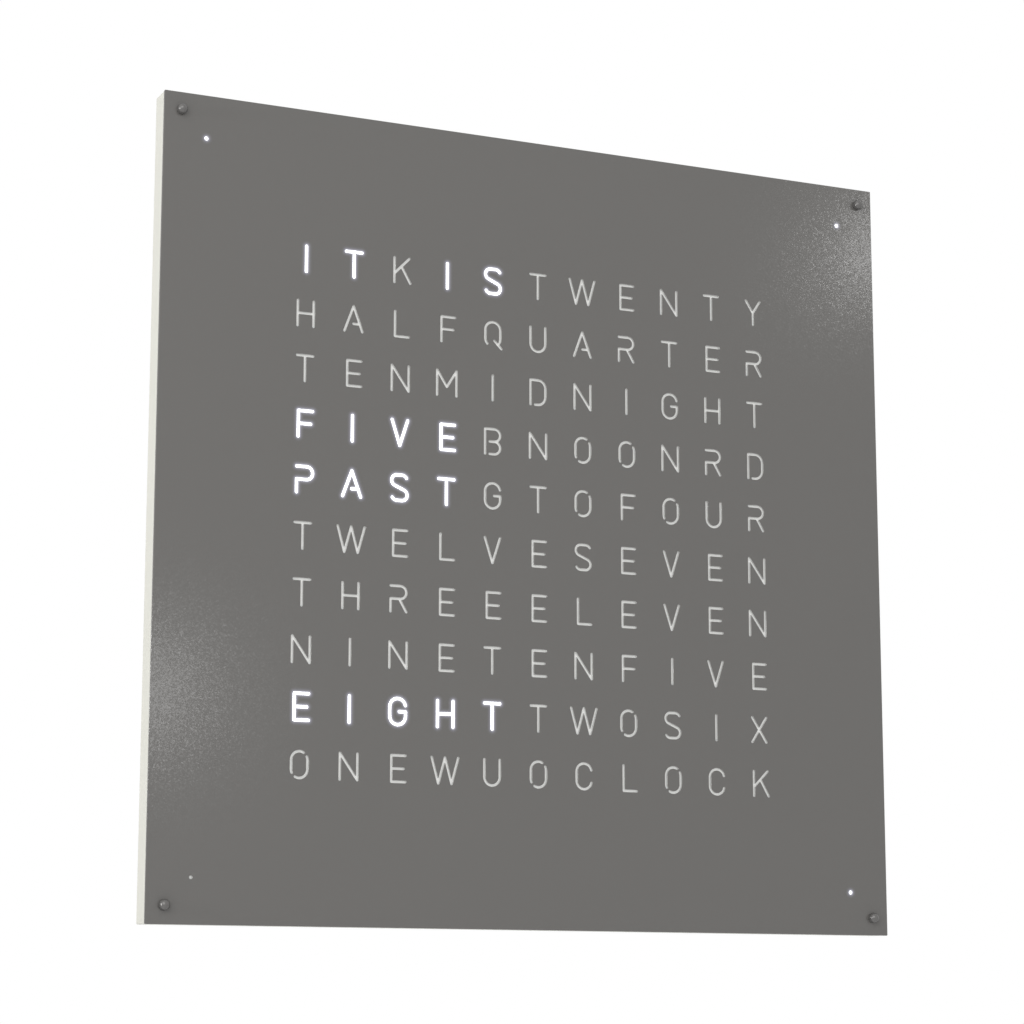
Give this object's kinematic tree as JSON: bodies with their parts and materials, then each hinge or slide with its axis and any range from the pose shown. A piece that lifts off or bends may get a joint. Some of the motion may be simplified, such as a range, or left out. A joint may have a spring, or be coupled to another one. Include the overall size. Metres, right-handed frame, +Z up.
{
  "type": "wall word clock",
  "caption": "Square wall clock that spells the time: a flat steel cover pierced with letters over a shallow body of light cells, corner balls, side buttons, keyhole hangers and a low inlet.",
  "frame": {"origin": "middle of the rear frame's back face, which lies on the wall", "axes": "+Z up, -Y out of the clock's front, +Y towards the wall, +X to the right seen from the front"},
  "size_m": [0.45, 0.0246, 0.45],
  "materials": {
    "cover_coat": "matte fine-textured powder coat on steel",
    "ball_coat": "satin coat on steel",
    "cream_lacquer": "satin cream lacquer over fibreboard",
    "opal_plastic": "matte opal sheet",
    "white_plastic": "matte white moulding",
    "board_white": "white solder mask",
    "board_green": "green solder mask",
    "led_package": "white package with a yellow phosphor window",
    "chip_black": "moulded chip package",
    "plated_steel": "zinc plated",
    "black_steel": "black oxide",
    "nickel_plate": "nickel plate",
    "insert_brass": "turned brass",
    "black_plastic": "fine-grained moulding",
    "brushed_plate": "brushed sheet steel",
    "can_aluminium": "drawn can",
    "ferrite": "sintered ferrite",
    "terminal_green": "moulded terminal block",
    "lead_red": "insulated lead",
    "cable_white": "flat film cable",
    "button_metal": "turned and bead-blasted"
  },
  "bodies": {
    "body": {"body_shell": "cream_lacquer", "magnet_cups": "plated_steel", "corner_magnets": "nickel_plate", "diffuser_sheet": "opal_plastic", "light_grid": "white_plastic", "led_board": "board_white", "letter_leds": "led_package", "minute_leds": "led_package", "light_sensor": "chip_black", "led_drivers": "chip_black", "sheet_screws": "plated_steel", "threaded_inserts": "insert_brass", "rear_frame": "black_plastic", "frame_screws": "black_steel", "bay_cover": "brushed_plate", "bay_cover_screws": "black_steel", "control_board": "board_green", "control_board_screws": "plated_steel", "board_link": "black_plastic", "processor_chip": "chip_black", "clock_crystal": "nickel_plate", "power_regulator": "chip_black", "capacitors": "can_aluminium", "coin_cell_holder": "black_plastic", "coin_cell": "nickel_plate", "radio_receiver": "board_green", "antenna_rod": "ferrite", "antenna_clips": "white_plastic", "power_terminal": "terminal_green", "inlet_leads": "lead_red", "power_inlet": "black_plastic", "inlet_pin": "nickel_plate", "inlet_bracket": "brushed_plate", "inlet_screws": "black_steel", "button_board": "board_green", "button_board_screws": "plated_steel", "button_switches": "black_plastic", "button_cable": "cable_white", "cable_socket": "white_plastic", "hanger_plates": "brushed_plate", "hanger_screws": "black_steel"},
    "cover": {"front_cover": "cover_coat"},
    "top_left_ball": {"ball_top_left": "ball_coat"},
    "top_right_ball": {"ball_top_right": "ball_coat"},
    "bottom_left_ball": {"ball_bottom_left": "ball_coat"},
    "bottom_right_ball": {"ball_bottom_right": "ball_coat"},
    "set_button": {"button_set": "button_metal", "plunger_set": "white_plastic"},
    "up_button": {"button_up": "button_metal", "plunger_up": "white_plastic"},
    "down_button": {"button_down": "button_metal", "plunger_down": "white_plastic"}
  },
  "joints": [
    {"name": "cover_lift", "type": "slide", "parent": "body", "child": "cover", "axis": [0, -1, 0], "range_m": [0, 0.06]},
    {"name": "top_left_ball_pull", "type": "slide", "parent": "cover", "child": "top_left_ball", "axis": [0, -1, 0], "range_m": [0, 0.02]},
    {"name": "top_right_ball_pull", "type": "slide", "parent": "cover", "child": "top_right_ball", "axis": [0, -1, 0], "range_m": [0, 0.02]},
    {"name": "bottom_left_ball_pull", "type": "slide", "parent": "cover", "child": "bottom_left_ball", "axis": [0, -1, 0], "range_m": [0, 0.02]},
    {"name": "bottom_right_ball_pull", "type": "slide", "parent": "cover", "child": "bottom_right_ball", "axis": [0, -1, 0], "range_m": [0, 0.02]},
    {"name": "set_press", "type": "slide", "parent": "body", "child": "set_button", "axis": [-1, 0, 0], "range_m": [0, 0.0006], "stiffness_N_per_m": 2000},
    {"name": "up_press", "type": "slide", "parent": "body", "child": "up_button", "axis": [-1, 0, 0], "range_m": [0, 0.0006], "stiffness_N_per_m": 2000},
    {"name": "down_press", "type": "slide", "parent": "body", "child": "down_button", "axis": [-1, 0, 0], "range_m": [0, 0.0006], "stiffness_N_per_m": 2000}
  ]
}
